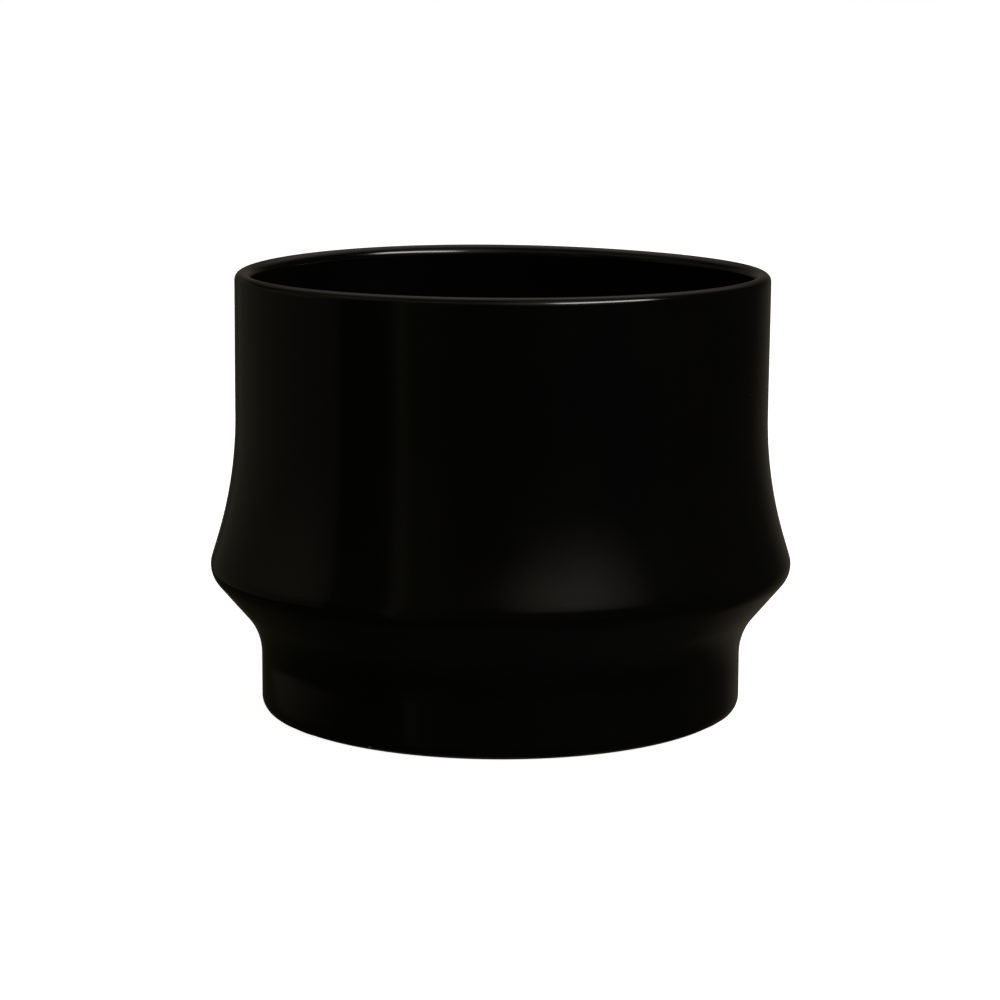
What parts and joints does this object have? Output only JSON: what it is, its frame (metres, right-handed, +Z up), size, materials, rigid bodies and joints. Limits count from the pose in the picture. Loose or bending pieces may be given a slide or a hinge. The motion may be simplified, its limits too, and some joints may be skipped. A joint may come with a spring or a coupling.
{
  "type": "empty candle jar",
  "caption": "Empty round ceramic candle jar in satin black glaze: flared under-body on a short foot, soft shoulder, upright wall and thick rounded rim, for poured wax.",
  "frame": {"origin": "centre of the foot, on the surface that the jar stands on", "axes": "+Z up along the jar's axis, out of its mouth; the jar is round, so X and Y are any two level directions"},
  "size_m": [0.1, 0.1, 0.076],
  "materials": {
    "bare_stoneware": "matte, fine-grained, bare",
    "outer_glaze": "satin black glaze",
    "liner_glaze": "satin black glaze",
    "base_glaze": "satin black glaze"
  },
  "bodies": {
    "root": {"stoneware_body": "bare_stoneware", "outer_glaze": "outer_glaze", "liner_glaze": "liner_glaze", "base_glaze": "base_glaze"}
  },
  "joints": []
}
